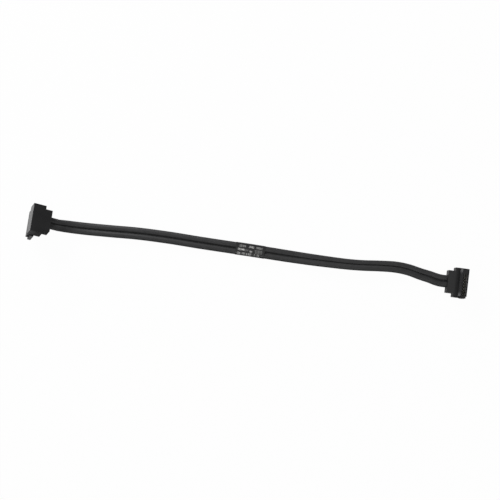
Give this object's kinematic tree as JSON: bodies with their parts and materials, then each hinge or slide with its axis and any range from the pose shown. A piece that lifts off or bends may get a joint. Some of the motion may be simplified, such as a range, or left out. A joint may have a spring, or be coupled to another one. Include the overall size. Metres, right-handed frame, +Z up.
{
  "type": "hard drive data cable",
  "caption": "Short flat data cable with a keyed right-angle plug moulded on each end, for joining a disk drive to a mainboard.",
  "frame": {"origin": "on the table the cable lies on, under the middle of the box around the two plugs", "axes": "+X along the cable from the turned-over left plug to the upright right plug, +Z up, out of the right plug's mouth"},
  "size_m": [0.2005, 0.0166, 0.0144],
  "materials": {
    "plug_plastic": "satin black moulded plastic",
    "lead_jacket": "soft black extruded plastic",
    "label_film": "black printed film",
    "contact_metal": "gold-plated spring strip",
    "core_insulation": "foil-grey core insulation",
    "drain_wire": "tinned bare wire"
  },
  "bodies": {
    "root": {"cable_jacket": "lead_jacket", "label_sleeve": "label_film", "left_cover": "plug_plastic", "left_insulator": "plug_plastic", "left_contact_1": "contact_metal", "left_contact_2": "contact_metal", "left_contact_3": "contact_metal", "left_contact_4": "contact_metal", "left_contact_5": "contact_metal", "left_contact_6": "contact_metal", "left_contact_7": "contact_metal", "left_signal_core_1": "core_insulation", "left_signal_core_2": "core_insulation", "left_signal_core_3": "core_insulation", "left_signal_core_4": "core_insulation", "left_drain_wire_1": "drain_wire", "left_drain_wire_2": "drain_wire", "left_drain_wire_3": "drain_wire", "left_drain_wire_4": "drain_wire", "right_cover": "plug_plastic", "right_insulator": "plug_plastic", "right_contact_1": "contact_metal", "right_contact_2": "contact_metal", "right_contact_3": "contact_metal", "right_contact_4": "contact_metal", "right_contact_5": "contact_metal", "right_contact_6": "contact_metal", "right_contact_7": "contact_metal", "right_signal_core_1": "core_insulation", "right_signal_core_2": "core_insulation", "right_signal_core_3": "core_insulation", "right_signal_core_4": "core_insulation", "right_drain_wire_1": "drain_wire", "right_drain_wire_2": "drain_wire", "right_drain_wire_3": "drain_wire", "right_drain_wire_4": "drain_wire"}
  },
  "joints": []
}
